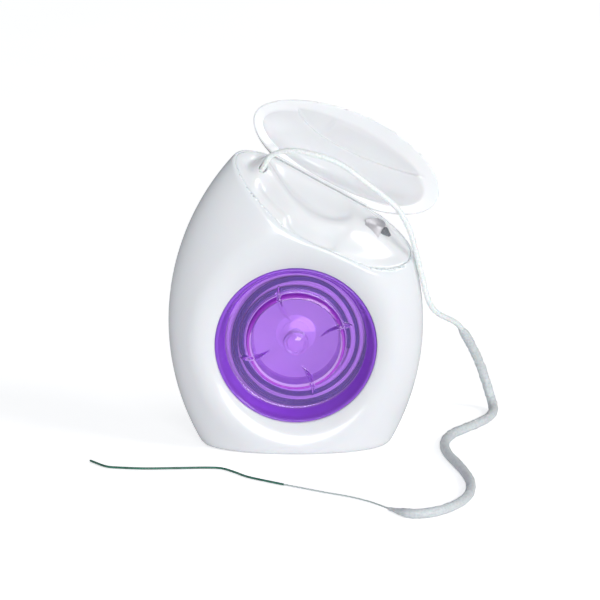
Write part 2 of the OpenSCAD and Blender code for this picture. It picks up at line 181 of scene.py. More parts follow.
def thread(name, low, high, rough, fine, depth, **more):
    """Thread, with its fibres and small lumps."""
    m, tree, shader = material(name, high, rough, **more)
    fibre = noise(tree, fine, 4)
    tree.links.new(ramp(tree, fibre, low, high, 0.3, 0.6), shader.inputs["Base Color"])
    tree.links.new(ramp(tree, fibre, rough * 0.8, min(1.0, rough * 1.2)), shader.inputs["Roughness"])
    bump(tree, shader, fibre, depth, 0.8)
    return m


floss_white = thread("floss_thread", (0.74, 0.80, 0.80), (0.88, 0.92, 0.93), 0.5, 2600, 0.00008,
                     Subsurface_Weight=0.2, Subsurface_Scale=0.001, Sheen_Weight=0.15)
wound_white = thread("wound_thread", (0.86, 0.86, 0.90), (0.95, 0.95, 0.97), 0.5, 2600, 0.00006,
                     Sheen_Weight=0.15)
sponge_white = thread("sponge_thread", (0.56, 0.60, 0.63), (0.68, 0.72, 0.74), 0.8, 1900, 0.00022,
                      Subsurface_Weight=0.15, Subsurface_Scale=0.001, Sheen_Weight=0.2)
tail_white = thread("tail_thread", (0.42, 0.50, 0.48), (0.60, 0.66, 0.65), 0.5, 4000, 0.00003)
green = thread("threader_thread", (0.012, 0.09, 0.055), (0.03, 0.17, 0.115), 0.3, 900, 0.00001,
               Coat_Weight=0.3, Coat_Roughness=0.1)
wound_green = thread("wound_threader", (0.003, 0.02, 0.10), (0.006, 0.04, 0.17), 0.5, 900, 0.00001)


# ---------------------------------------------------------------- mesh helpers
def new_piece(name, verts, faces, mat, slot, body, *replaced):
    """A smooth mesh piece from millimetres, which rides on a body and replaces CAD nodes."""
    mesh = bpy.data.meshes.new(name)
    mesh.from_pydata((np.asarray(verts) * MM).tolist(), [], faces)
    mesh.validate()
    mesh.shade_smooth()
    mesh.materials.append(mat)
    o = bpy.data.objects.new(name, mesh)
    bpy.context.scene.collection.objects.link(o)
    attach(o, body)
    if replaced:
        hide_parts(*replaced)
    return o


def net(f, low, high, step):
    """Vertices and quads of the surface where f is 0, each vertex moved onto it."""
    low, high = np.array(low, float), np.array(high, float)
    n = np.ceil((high - low) / step).astype(int) + 1
    axes = [low[i] + step * np.arange(n[i]) for i in range(3)]
    value = np.empty(n)
    for i, x in enumerate(axes[0]):
        y, z = np.meshgrid(axes[1], axes[2], indexing="ij")
        value[i] = f(np.stack([np.full(y.size, x), y.ravel(), z.ravel()], 1)).reshape(y.shape)
    inside = value < 0
    corners = [(a, b, c) for a in (0, 1) for b in (0, 1) for c in (0, 1)]
    part = lambda g, c: g[c[0]:n[0] - 1 + c[0], c[1]:n[1] - 1 + c[1], c[2]:n[2] - 1 + c[2]]
    count = sum(part(inside, c).astype(np.int8) for c in corners)
    active = (count > 0) & (count < 8)
    index = -np.ones(active.shape, int)
    index[active] = np.arange(active.sum())
    cell = np.argwhere(active)
    total, hits = np.zeros((len(cell), 3)), np.zeros(len(cell))
    held = {c: value[tuple((cell + c).T)] for c in corners}
    for a in corners:
        for axis in range(3):
            if a[axis]:
                continue
            b = tuple(1 if i == axis else a[i] for i in range(3))
            crossed = (held[a] < 0) != (held[b] < 0)
            t = np.where(crossed, held[a] / np.where(crossed, held[a] - held[b], 1), 0)
            place = np.tile(np.array(a, float), (len(cell), 1))
            place[:, axis] = t
            total += place * crossed[:, None]
            hits += crossed
    p = low + (cell + total / hits[:, None]) * step
    h = step * 0.05
    for _ in range(3):
        g = np.stack([(f(p + h * d) - f(p - h * d)) / (2 * h) for d in np.eye(3)], 1)
        move = f(p)[:, None] * g / np.maximum((g * g).sum(1), 0.05)[:, None]
        p = p - move * np.minimum(1, 0.4 * step / np.maximum(np.linalg.norm(move, axis=1), 1e-9))[:, None]
    faces = []
    for axis in range(3):
        b, c = (axis + 1) % 3, (axis + 2) % 3
        low_side = np.take(inside, np.arange(n[axis] - 1), axis)
        high_side = np.take(inside, np.arange(1, n[axis]), axis)
        at = np.argwhere(low_side != high_side)
        at = at[(at[:, b] > 0) & (at[:, c] > 0) & (at[:, b] < n[b] - 1) & (at[:, c] < n[c] - 1)]
        unit = np.eye(3, dtype=int)
        quad = np.stack([index[tuple((at - s).T)] for s in (unit[b] + unit[c], unit[c], 0 * unit[b], unit[b])], 1)
        flip = ~low_side[tuple(at.T)]
        quad[flip] = quad[flip][:, ::-1]
        faces.append(quad)
    return p, np.concatenate(faces).tolist()


def both(a, b, r=0.0):
    """Where a and b are both negative, with the edge rounded over about r."""
    if r <= 0:
        return np.maximum(a, b)
    h = np.maximum(r - np.abs(a - b), 0) / r
    return np.maximum(a, b) + h * h * r / 4


def either(a, b, r=0.0):
    """Where a or b is negative, with the inner corner filled over about r."""
    return -both(-a, -b, r)


def smooth(x, start, end):
    """From 0 at start to 1 at end, level at both."""
    t = np.clip((x - start) / (end - start), 0, 1)
    return t * t * (3 - 2 * t)


# ---------------------------------------------------------------- egg body
HALF_W, HALF_D, WIDEST_Z, WALL = 25.5, 9.7, 26.0, 1.3
SIDE_R, TOP_R, BASE_R, DIP = 52.0, 17.0, 3.2, 0.12
SIDE_X = HALF_W - SIDE_R
CORNER_Z = BASE_R - DIP
CORNER_X = SIDE_X + math.sqrt((SIDE_R - BASE_R) ** 2 - (WIDEST_Z - CORNER_Z) ** 2)
CROWN_Z = WIDEST_Z + math.sqrt((SIDE_R - TOP_R) ** 2 - SIDE_X ** 2)
LOW_A = math.atan2(CORNER_Z - WIDEST_Z, CORNER_X - SIDE_X)
HIGH_A = math.atan2(CROWN_Z - WIDEST_Z, -SIDE_X)
HINGE = np.array([5.0, 4.9014, 53.9037])
SLOPE = math.radians(29.6)
SEAM_R, SEAM_Y, SEAM_V = 29.0, 10.203, -27.146
CAP_DEPTH = 10.8
LID_OPEN = math.radians(124)
BODY_LEAN, LID_LEAN = math.radians(24), math.radians(16)
BEAD_R, BEAD_ROUND = 0.35, 0.1


def egg(p, inset=0.0):
    """Distance outside the flattened egg, drawn in by inset."""
    k = (HALF_D - inset) / (HALF_W - inset)
    x, y, z = p[:, 0], p[:, 1], p[:, 2]
    rho = np.sqrt(x * x + (y / k) ** 2) + 1e-6
    a = np.arctan2(z - WIDEST_Z, rho - SIDE_X)
    top, low = a > HIGH_A, a < LOW_A
    dx = rho - np.where(top, 0, np.where(low, CORNER_X, SIDE_X))
    dz = z - np.where(top, CROWN_Z, np.where(low, CORNER_Z, WIDEST_Z))
    d = np.hypot(dx, dz) + 1e-6
    out = d - np.where(top, TOP_R, np.where(low, BASE_R, SIDE_R)) + inset
    lean = np.sqrt((x / rho) ** 2 + (y / (k * k * rho)) ** 2)
    out = out / np.sqrt((dx / d * lean) ** 2 + (dz / d) ** 2 + 1e-9)
    return np.where(low & (rho < CORNER_X), inset - DIP - z, out)


def hinge_frame(p):
    """Along the hinge, forward of it, and up from it."""
    d = p - HINGE
    return (d[:, 0] * math.cos(SLOPE) - d[:, 2] * math.sin(SLOPE), -d[:, 1],
            d[:, 0] * math.sin(SLOPE) + d[:, 2] * math.cos(SLOPE))


def from_hinge(u, w, v):
    """The point at a place along, forward of and up from the hinge."""
    return np.stack([HINGE[0] + u * math.cos(SLOPE) + v * math.sin(SLOPE), HINGE[1] - w,
                     HINGE[2] - u * math.sin(SLOPE) + v * math.cos(SLOPE)], -1)


def seam(w):
    """Height of the seam between lid and body, forward of the hinge by w."""
    return SEAM_V + np.sqrt(SEAM_R ** 2 - (w + SEAM_Y) ** 2)


def under_cap(w, v, grow=0.0):
    """Negative below the seam between lid and body."""
    return np.minimum(np.hypot(w + SEAM_Y, v - SEAM_V) - SEAM_R - grow, v + CAP_DEPTH)


def behind_body(w, v):
    """Distance behind the body's flat land, which leans back from the hinge."""
    return -w * math.cos(BODY_LEAN) + v * math.sin(BODY_LEAN)


def behind_lid(w, v):
    """Distance behind the closed lid's flat land, which leans the other way."""
    return -w * math.cos(LID_LEAN) - v * math.sin(LID_LEAN)


# ---------------------------------------------------------------- shells
DIAL_Z = 22.5
DISH_EDGE_R, DISH_EDGE_Q, DISH_RISE, DISH_COS, DISH_BLEND = 16.4, 5.5, 0.787, 0.786, 3.6
BORE_R, BAND, BAND_BACK = 16.2, 1.45, 4.3
LEDGE, SEAT_DEPTH, THINNEST = 0.6, 1.2, 0.75
BOSS_R, BOSS_FRONT = 3.2, 6.4
HALF_GAP = 0.02
REACH, TOP = 26.2, 63


def from_axis(p):
    """Distance from the dial's axis."""
    return np.hypot(p[:, 0], p[:, 2] - DIAL_Z)


def dish(p):
    """Distance before the cone-shaped dish about the dial."""
    return (-p[:, 1] - DISH_EDGE_Q - (from_axis(p) - DISH_EDGE_R) * DISH_RISE) * DISH_COS


def skin(p):
    """The egg with the dish softly let into its front."""
    return both(egg(p), dish(p), DISH_BLEND)


def body_wall(p):
    """The body's wall on both sides of the parting, with a seat for the deck in its rim."""
    u, w, v = hinge_frame(p)
    behind, skinned, cap = behind_body(w, v), skin(p), under_cap(w, v)
    hollow = both(np.maximum(egg(p, WALL), skinned + THINNEST), behind + WALL, 0.8)
    f = both(both(both(skinned, -p[:, 2], 0.5), behind, 0.3), -hollow)
    seat = np.maximum(np.maximum(skinned, behind) + LEDGE, -cap - SEAT_DEPTH)
    f = both(both(f, cap, 0.5), -seat)
    return both(f, BEAD_R - np.hypot(w, v), BEAD_ROUND)


def front_form(p):
    face, skinned = dish(p), skin(p)
    band = both(both(both(face, -face - BAND, 0.2), BAND_BACK + p[:, 1], 0.2), skinned + 0.3)
    f = np.maximum(either(body_wall(p), band, 0.5), skinned)
    f = both(f, BORE_R - from_axis(p), 0.15)
    return both(f, p[:, 1] + HALF_GAP, 0.12)


def rear_form(p):
    boss = both(both(from_axis(p) - BOSS_R, BOSS_FRONT - p[:, 1], 0.3), egg(p, WALL / 2))
    return both(either(body_wall(p), boss, 0.5), HALF_GAP - p[:, 1], 0.12)


new_piece("front_shell_form", *net(front_form, (-REACH, -10.4, -0.8), (REACH, 0.8, TOP), 0.27),
          shell_white, "shell", "housing", "front_shell")
new_piece("rear_shell_form", *net(rear_form, (-REACH, -0.8, -0.8), (REACH, 10.4, TOP), 0.33),
          shell_white, "shell", "housing", "rear_shell")


# ---------------------------------------------------------------- lid
LATCH = [(-3.0, 10.2), (-0.5, 10.8), (4.3, 11.3), (11.3, 10.9), (16.5, 9.8)]
LID_WALL, LID_STEP, LID_BACK, SEAM_GAP = 0.6, 0.5, 0.5, 0.3


def line_distance(u, w, line):
    """Distance from a line through points, in the plane along and forward of the hinge."""
    best = np.full(np.shape(u), 1e9)
    for (a, b), (c, d) in zip(line[:-1], line[1:]):
        t = np.clip(((u - a) * (c - a) + (w - b) * (d - b)) / ((c - a) ** 2 + (d - b) ** 2), 0, 1)
        best = np.minimum(best, np.hypot(u - a - t * (c - a), w - b - t * (d - b)))
    return best


def closed(u, w, v):
    """Where a point of the open lid lies when the lid is closed."""
    c, s = math.cos(LID_OPEN), math.sin(LID_OPEN)
    return u, w * c + v * s, -w * s + v * c


def lid_form(p):
    """The cap of the egg, with a step and a latch ridge inside, formed closed and turned open."""
    u, w, v = closed(*hinge_frame(p))
    q = from_hinge(u, w, v)
    behind = behind_lid(w, v)
    thickness = LID_WALL + LID_STEP * smooth(w, 8.8, 9.3) * np.clip((13.5 - w) / 4.2, 0, 1)
    ridge = 0.3 * np.exp(-(line_distance(u, w, LATCH) / 0.6) ** 2) * smooth(v, -7.5, -5) * (v < 3)
    hollow = both(egg(q, WALL) + WALL - thickness + ridge, behind + LID_BACK, 0.6)
    f = both(both(egg(q), behind, 0.25), -hollow)
    f = both(f, -under_cap(w, v, SEAM_GAP), 0.28)
    return both(f, BEAD_R - np.hypot(w, v), BEAD_ROUND)


lid_low, lid_high = (np.array(c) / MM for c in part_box("lid"))
new_piece("lid_form", *net(lid_form, lid_low - 0.9, lid_high + 0.9, 0.22),
          lid_white, "shell", "lid", "lid")


# ---------------------------------------------------------------- deck
SCOOP = [(-13.0, 4.3), (-10.1, 6.0), (-8.3, 7.2), (-6.5, 8.3), (-4.2, 9.2), (-1.5, 9.8), (0.9, 10.0),
         (4.1, 9.8), (6.9, 8.8), (8.8, 7.2), (8.9, 5.2), (7.0, 3.5), (3.5, 2.5), (-2, 2.1), (-8, 2.1), (-12, 2.7)]
CATCH = [(-2.6, 11.0), (-0.6, 11.6), (1.8, 11.9), (4.4, 11.8), (7.0, 11.3)]
OUTLET_U, OUTLET_W, OUTLET_R, SPOUT_HIGH = -12.1, 6, 0.78, 1.9
DECK_THICK, DECK_LOWEST, DECK_INSET = 1.7, -11.5, LEDGE - 0.04
GRID = 0.1
grid_u, grid_w = np.meshgrid(np.arange(-24, 28, GRID), np.arange(-3, 17, GRID), indexing="ij")


def deck_relief():
    """Height of the deck above the seam, over the hinge's length and the distance before it."""
    u, w = grid_u.ravel(), grid_w.ravel()
    ring = np.array(SCOOP)
    for _ in range(2):
        after = np.roll(ring, -1, 0)
        ring = np.stack([ring * 0.75 + after * 0.25, ring * 0.25 + after * 0.75], 1).reshape(-1, 2)
    outside = line_distance(u, w, np.vstack([ring, ring[:1]]))
    crossings = np.zeros(u.shape, int)
    for (a, b), (c, d) in zip(ring, np.roll(ring, -1, 0)):
        spans = (b > w) != (d > w)
        crossings += spans & (u < (c - a) * (w - b) / (d - b + 1e-12) + a)
    within = np.where(crossings % 2 == 1, outside, 0)
    outside = np.where(crossings % 2 == 1, 0, outside)
    depth = -egg(from_hinge(u, w, seam(w)))
    crest = np.interp(u, [-14, -8, 0, 6, 12, 18], [1.2, 1.1, 1.0, 1.3, 1.5, 1.2])
    bowl = crest - (crest + 0.9) * (1 - np.exp(-(within / 2.4) ** 2))
    across = outside + np.maximum(depth - WALL - 0.4, 0.05)
    q = np.clip(outside / across, 0, 1)
    low = crest - (crest + 1.3) * across / (across + 0.6) * smooth(q, 0, 0.62)
    valley = low * (1 - smooth(q, 0.62, 1.0) * 0.999)
    flank = crest * (1 - q ** 3)
    easy = np.maximum(smooth(u, 4.0, 9.5), 1 - smooth(w, 1.8, 3.4))
    h = (bowl - crest) + valley * (1 - easy) + flank * easy
    h -= 0.8 * np.exp(-(line_distance(u, w, CATCH) / 0.6) ** 2)
    h = h * smooth(w, 0.2, 2.4)
    spout = np.exp(-(np.hypot(u - OUTLET_U, w - OUTLET_W) / 1.9) ** 2)
    h = h + (SPOUT_HIGH - h) * spout
    h = h.reshape(grid_u.shape)
    kernel = np.exp(-(np.arange(-12, 13) / 5.5) ** 2)
    kernel /= kernel.sum()
    for axis in (0, 1):
        h = np.apply_along_axis(lambda x: np.convolve(np.pad(x, 12, "edge"), kernel, "valid"), axis, h)
    return h


RELIEF = deck_relief()


def relief(u, w):
    """The deck's height at any place, between the points of the grid."""
    a = np.clip((u - grid_u[0, 0]) / GRID, 0, RELIEF.shape[0] - 1.001)
    b = np.clip((w - grid_w[0, 0]) / GRID, 0, RELIEF.shape[1] - 1.001)
    i, j = a.astype(int), b.astype(int)
    a, b = a - i, b - j
    return ((RELIEF[i, j] * (1 - a) + RELIEF[i + 1, j] * a) * (1 - b)
            + (RELIEF[i, j + 1] * (1 - a) + RELIEF[i + 1, j + 1] * a) * b)


def deck_form(p):
    """The deck that fills the seat in the shells' rim, with the outlet for the floss."""
    u, w, v = hinge_frame(p)
    top = (v - seam(np.clip(w, -4, 17)) - relief(u, w)) * 0.85
    f = both(top, -top - DECK_THICK)
    f = both(f, both(skin(p), behind_body(w, v)) + DECK_INSET)
    f = both(f, DECK_LOWEST - v)
    return both(f, OUTLET_R - np.hypot(u - OUTLET_U, w - OUTLET_W), 0.3)


deck_low, deck_high = (np.array(c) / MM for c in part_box("top_deck"))
new_piece("deck_form", *net(deck_form, deck_low - 3, deck_high + 3, 0.24),
          deck_white, "shell", "housing", "top_deck")


# ---------------------------------------------------------------- dial
# Profiles as radius and distance in front of the parting, from the middle out and back to the middle
FRONT = [(0, 3.85), (0.9, 3.75), (1.6, 3.5), (1.9, 3.3), (2.1, 3.6), (2.4, 3.6), (2.55, 3.3), (9.3, 3.3),
         (9.8, 3.12), (9.92, 2.6), (9.96, 2.15), (10.2, 1.93), (14.0, 1.9), (14.35, 2.1), (15.45, 5.1),
         (15.7, 5.36), (15.95, 5.36), (16.1, 5.15)]
BACK = [(16.1, 4.0), (17.5, 4.0), (17.6, 3.9), (17.6, 3.2), (17.5, 3.1), (16.0, 3.1), (15.1, 1.05), (15.0, 1.0),
        (10.0, 1.0), (9.9, 0.9), (9.9, -3.8), (9.0, -3.8), (9.0, 2.3), (8.9, 2.4), (0, 2.4)]
RIB_INNER, RIB_OUTER = (4.8, 0.2007), (11.9, 0.2793)
RIB_BOW, RIB_HOLLOW, RIB_CREST = 1.4, 0.45, 4.5


def rib_bulk(x, z):
    """Distance inside the nearest of the four grip ribs, negative outside them."""
    best = np.full(x.shape, -9.0)
    for turn in range(4):
        a = math.pi / 2 * turn
        inner, outer = (r * np.array([math.cos(b + a), math.sin(b + a)]) for r, b in (RIB_INNER, RIB_OUTER))
        along = (outer - inner) / np.linalg.norm(outer - inner)
        side = np.array([-along[1], along[0]])
        middle = (inner + outer) / 2
        chord = np.linalg.norm(outer - inner)
        s = (x - middle[0]) * along[0] + (z - middle[1]) * along[1]
        t = (x - middle[0]) * side[0] + (z - middle[1]) * side[1]
        arc = lambda bow: (chord ** 2 / 4 + bow ** 2) / (2 * bow)
        big, small = arc(RIB_BOW), arc(RIB_HOLLOW)
        best = np.maximum(best, np.minimum(big - np.hypot(s, t - RIB_BOW + big),
                                           np.hypot(s, t - RIB_HOLLOW + small) - small))
    return best


def dial_mesh(sides=480):
    """The dial turned about its axis, with the ribs raised out of its front."""
    fine = []
    for (a, b), (c, d) in zip(FRONT[:-1], FRONT[1:]):
        steps = max(1, int(math.hypot(c - a, d - b) / 0.16))
        fine += [(a + (c - a) * i / steps, b + (d - b) * i / steps) for i in range(steps)]
    fine.append(FRONT[-1])
    profile = np.array(fine + BACK)
    front_rings = len(fine)
    theta = 2 * math.pi * np.arange(sides) / sides
    rings = []
    for k, (r, q) in enumerate(profile[1:-1]):
        x, z = r * np.cos(theta), r * np.sin(theta)
        height = np.full(sides, q)
        if k + 1 < front_rings and 4 < r < 12.5:
            bulk = rib_bulk(x, z)
            crown = RIB_CREST - 0.75 + 0.75 * smooth(bulk, 0.0, 0.5)
            height = np.maximum(q, q + (crown - q) * smooth(bulk, -0.06, 0.2))
        rings.append(np.stack([x, -height, z + DIAL_Z], 1))
    verts = np.vstack([[[0, -profile[0][1], DIAL_Z]], *rings, [[0, -profile[-1][1], DIAL_Z]]])
    faces = []
    step = np.arange(sides)
    after = (step + 1) % sides
    for k in range(len(rings) - 1):
        a = 1 + k * sides
        faces += np.stack([a + step, a + after, a + sides + after, a + sides + step], 1).tolist()
    last = 1 + (len(rings) - 1) * sides
    faces += np.stack([np.zeros(sides, int), 1 + after, 1 + step], 1).tolist()
    faces += np.stack([np.full(sides, len(verts) - 1), last + step, last + after], 1).tolist()
    return verts, [f[::-1] for f in faces]


dial = new_piece("dial_form", *dial_mesh(), purple, "purple", "dial", "dial_cover")
dial.data.materials.append(purple_rim)
dial.data.materials.append(purple_edge)
RIM_SLOT, EDGE_SLOT = 1, 2
for face in dial.data.polygons:
    x, y, z = (c / MM for c in face.center)
    z -= DIAL_Z
    r = math.hypot(x, z)
    if r > 14.2 and face.normal.y < 0.5:
        face.material_index = RIM_SLOT
    elif 8.95 < r < 9.95 and (y > -2.9 or (r > 9.35 and y > -3.29)):
        if rib_bulk(np.array([x]), np.array([z]))[0] < -0.1:
            face.material_index = EDGE_SLOT


# ---------------------------------------------------------------- strands
def curve_through(points, spacing):
    """Even points on one smooth curve through the given ones."""
    p = np.array(points, float)
    p = np.vstack([2 * p[0] - p[1], p, 2 * p[-1] - p[-2]])
    fine = []
    for a, b, c, d in zip(p[:-3], p[1:-2], p[2:-1], p[3:]):
        t = np.linspace(0, 1, 24, endpoint=False)[:, None]
        fine.append(0.5 * (2 * b + (c - a) * t + (2 * a - 5 * b + 4 * c - d) * t ** 2
                           + (3 * b - a - 3 * c + d) * t ** 3))
    fine = np.vstack([*fine, p[-2:-1]])
    run = np.concatenate([[0], np.cumsum(np.linalg.norm(np.diff(fine, axis=0), axis=1))])
    even = np.linspace(0, run[-1], max(3, int(run[-1] / spacing)) + 1)
    return np.stack([np.interp(even, run, fine[:, i]) for i in range(3)], 1)


def tube(path, radius, sides=12, lobes=0, depth=0.0, pitch=8.0, lump=0.0, seed=1, taper=0.0):
    """A closed round strand on the path, with twisted filaments or small lumps, flat where it rests on the ground."""
    path = np.asarray(path)
    ahead = np.gradient(path, axis=0)
    ahead /= np.linalg.norm(ahead, axis=1)[:, None]
    run = np.concatenate([[0], np.cumsum(np.linalg.norm(np.diff(path, axis=0), axis=1))])
    start = np.cross(ahead[0], [0.3, 0.5, 0.8])
    normal = [start / np.linalg.norm(start)]
    for t in ahead[1:]:
        side = normal[-1] - t * (normal[-1] @ t)
        normal.append(side / np.linalg.norm(side))
    normal = np.array(normal)
    across = np.cross(ahead, normal)
    random = np.random.default_rng(seed)
    a = 2 * math.pi * np.arange(sides) / sides
    sizes = np.ones((len(path), sides)) * radius
    if lobes:
        sizes *= 1 + depth * np.cos(lobes * (a[None, :] - 2 * math.pi * run[:, None] / pitch))
    if lump:
        rough = random.normal(size=(len(path), sides))
        rough = (rough + np.roll(rough, 1, 0) + np.roll(rough, 1, 1) + np.roll(rough, -1, 0)) / 2
        sizes *= 1 + lump * rough
    if taper:
        near = np.minimum(run, run[-1] - run)
        sizes *= (0.42 + 0.58 * smooth(near, 0, taper))[:, None]
    ring = (path[:, None, :] + sizes[..., None] * (np.cos(a)[None, :, None] * normal[:, None, :]
            + np.sin(a)[None, :, None] * across[:, None, :]))
    caps = []
    for end, way in ((0, -1), (-1, 1)):
        for share, out in ((0.7, 0.55), (0.3, 0.85)):
            caps.append(path[end] + (ring[end] - path[end]) * share + way * ahead[end] * radius * out)
    ring = np.concatenate([[caps[1], caps[0]], ring, [caps[2], caps[3]]])
    verts = ring.reshape(-1, 3)
    verts[:, 2] = np.maximum(verts[:, 2], 0)
    step = np.arange(sides)
    after = (step + 1) % sides
    faces = []
    for k in range(len(ring) - 1):
        b = k * sides
        faces += np.stack([b + step, b + after, b + sides + after, b + sides + step], 1).tolist()
    faces.append(step[::-1].tolist())
    faces.append((len(verts) - sides + step).tolist())
    return verts, faces


feed_route = [[-15.2, 1.2, 25.5], [-15.2, 1.1, 29], [-15, 0.8, 33], [-14.5, 0.4, 38], [-13.4, -0.1, 43],
              [-11.6, -0.7, 48], [-9.9, -1, 52], [-8.7, -1.1, 54.4], [-7.2, -1.1, 57], [-6.1, -1.1, 58.9]]
arch_route = [[-6.1, -1.1, 58.9], [-5.6, -1.2, 60], [-4.6, -1.4, 61], [-2.6, -1.8, 61.8], [0, -2.3, 62.1],
              [3.6, -2.8, 61.5], [6.8, -3.1, 60.6], [10, -3.2, 58.9], [13.4, -3, 56.2], [16.8, -2.6, 53.4],
              [20, -2.2, 50.4], [21.6, -2, 47.8], [22.8, -1.9, 45.1], [23.6, -1.8, 42.4], [24.4, -1.7, 39]]
# The thin lead and the tail run a little way inside the spongy stretch, as its core
run_route = [[24.4, -1.7, 39], [25.3, -1.5, 35.5], [26.1, -1, 32], [27.2, 0.2, 29], [28.7, 2, 26.9],
             [30.5, 4.5, 25.2], [32.8, 8.5, 22.6], [34.7, 12.8, 18.6], [36.1, 16.4, 15]]
sponge_route = [[32.8, 8.5, 22.6], [34.7, 12.8, 18.6], [36.1, 16.4, 15], [37.4, 19.5, 11.4], [38.5, 21.6, 7.9],
                [39.4, 22.5, 4.9], [40.1, 22.2, 2.6], [40.5, 20.6, 1.3], [40.5, 18.2, 1], [39.8, 15, 1],
                [37.8, 11.2, 1], [34.6, 7.2, 1], [31.8, 3.6, 1], [30.2, -0.6, 1], [29.9, -5, 1], [30.7, -9.8, 1],
                [32.3, -15.4, 1], [33.6, -20.6, 1], [34.4, -26, 1], [34.1, -31.6, 1], [32.8, -36, 1],
                [30.6, -39.6, 1], [28, -42.2, 1], [25, -43.8, 1], [22, -43.6, 0.9], [18.4, -40, 0.45]]
tail_route = [[22, -43.6, 0.9], [18.4, -40, 0.5], [14.6, -35.4, 0.3], [10.6, -32.4, 0.3], [6, -30, 0.3],
              [1.8, -27.6, 0.3], [-2.4, -25.2, 0.3]]
threader_route = [[-2.4, -25.2, 0.3], [-6, -23, 0.3], [-9.6, -20.6, 0.3], [-12.4, -17.6, 0.3], [-14.8, -15.6, 0.3],
                  [-18, -15.2, 0.3], [-24, -15.5, 0.3], [-30, -15.7, 0.3], [-35, -15.2, 0.3], [-37.8, -14.4, 0.3],
                  [-41, -11, 0.3]]


def strand(name, route, diameter, mat, slot, replaced, **form):
    """A piece of the strand through the places of a route, and its path."""
    path = curve_through(route, 0.3)
    return new_piece(name, *tube(path, diameter / 2, **form), mat, slot, "housing", replaced), path


FLOSS = dict(lobes=5, depth=0.06, sides=16)
strand("feed_strand", feed_route, 1.1, floss_white, "floss", "floss_feed", **FLOSS)
arch, arch_path = strand("arch_strand", arch_route, 1.1, floss_white, "floss", "floss_arch", **FLOSS)
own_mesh(arch)
for name, route, diameter, mat, slot, replaced, stiffness, form in [
        ("run_strand", run_route, 1.1, floss_white, "floss", "floss_run", "limp", FLOSS),
        ("sponge_strand", sponge_route, 1.9, sponge_white, "sponge", "floss_sponge", "limp",
         dict(lump=0.05, sides=20, taper=5)),
        ("tail_strand", tail_route, 0.36, tail_white, "floss", "floss_tail", "limp",
         dict(lobes=3, depth=0.12, sides=9, pitch=3)),
        ("threader_strand", threader_route, 0.46, green, "threader", "floss_threader", "stiff", dict(sides=12))]:
    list(strand(name, route, diameter, mat, slot, replaced, **form))

# Floss and threader wound behind the dial
TURNS = [(95, 14.5), (60, 14.6), (26, 14.6), (-10, 14.0), (-32, 13.6), (-59, 13.3), (-96, 13.1), (-118, 12.9),
         (-143, 12.7), (-164, 12.4), (-190, 11.95), (-212, 12.0), (-230, 12.2), (-252, 12.5), (-270, 12.7),
         (-290, 13.0), (-309, 12.8), (-327, 12.4), (-360, 12.3), (-386, 12.0), (-420, 11.7), (-450, 11.4),
         (-480, 11.1), (-540, 10.9), (-600, 10.8), (-641, 10.9), (-660, 11.1), (-680, 10.9), (-700, 10.7),
         (-730, 10.6)]
THREADER_R, FLOSS_R = 0.23, 0.49
THREADER_BACK = -0.67
INNERMOST, OUTERMOST = 10.3, 14.75


def wound(angles, radii, depth):
    """Points in a plane behind the dial, at a depth behind its joint face."""
    a = np.radians(angles)
    return np.stack([radii * np.cos(a), np.broadcast_to(depth, a.shape), radii * np.sin(a) + DIAL_Z], 1)


def join(parts):
    """Several meshes as one."""
    verts, faces, at = [], [], 0
    for v, f in parts:
        verts.append(v)
        faces += [[i + at for i in one] for one in f]
        at += len(v)
    return np.vstack(verts), faces


angles = np.arange(95, -731, -4.0)
radius_at = np.interp(-angles, [-a for a, _ in TURNS], [r for _, r in TURNS])
radius_at = np.convolve(np.pad(radius_at, 4, "edge"), np.ones(9) / 9, "valid")
threads = []
for shift, swing, rate, phase in [(-0.22, 0.12, 0.7, 0.3), (0.14, 0.14, 0.7, 1.1), (0.1, 0.5, 0.43, 2.4)]:
    wander = swing * np.sin(np.radians(angles) * rate + phase)
    radii = np.clip(radius_at + shift + wander, INNERMOST, OUTERMOST)
    threads.append(tube(wound(angles, radii, THREADER_BACK), THREADER_R, sides=10))
new_piece("threader_winding", *join(threads), wound_green, "threader", "dial", "threader_coil")

turns = []
for k, (layer, first, last, phase) in enumerate([(0.18, 10.5, 14.5, 0.0), (1.25, 14.0, 10.5, 2.0),
                                                 (2.35, 10.6, 14.4, 4.1)]):
    a = np.arange(165 + 40 * k, 165 + 40 * k + 1440, 5.0)
    r = np.linspace(first, last, len(a)) + 0.12 * np.sin(np.radians(a) * 1.3 + phase)
    level = layer + 0.1 * np.sin(np.radians(a) * 0.9 + phase)
    turns.append(tube(wound(a, r, level), FLOSS_R, sides=12, lobes=4, depth=0.06, pitch=6))
new_piece("floss_winding", *join(turns), wound_white, "floss", "dial", "floss_coil")


# ---------------------------------------------------------------- CAD nodes that stay
def keep_node(name, mat, edge):
    """Give a CAD node its material and rounded edges."""
    o = nodes[name]
    o.data.materials.clear()
    o.data.materials.append(mat)
    soften = o.modifiers.new("edges", "BEVEL")
    soften.width = edge * MM
    soften.segments = 2
    soften.limit_method = "ANGLE"


keep_node("spool_wheel", wheel_white, 0.12)
keep_node("spindle", wheel_white, 0.1)
keep_node("living_hinge", hinge_white, 0.05)

# ---------------------------------------------------------------- cutter
# Outlines in their own plane, along the hinge and up from the foot line
BLADE = [(-2.75, -1.4), (-2.85, 0.35), (-3.25, 0.6), (-3.15, 0.95), (-2.85, 0.85), (-2.3, 1.5), (-1.6, 2.0),
         (-0.9, 2.25), (-0.1, 2.35), (0.5, 2.25), (0.9, 1.95), (1.1, 1.4), (0.85, 1.05), (0.75, 0.3),
         (0.75, -1.4)]
# The tooth plate fills the blade's notch; its darker steel is painted shade for the shadowed recess
TOOTH_SHADE_PLATE = [(0.8, 0.3), (0.8, 1.05), (1.15, 1.42), (1.45, 1.38), (1.75, 1.1), (2.85, 0.2), (2.7, -0.3), (0.9, -0.6)]
FOOT_U, FOOT_W, FOOT_HIGH, CHAMFER = 14.0, 6.3, 1.55, 0.06


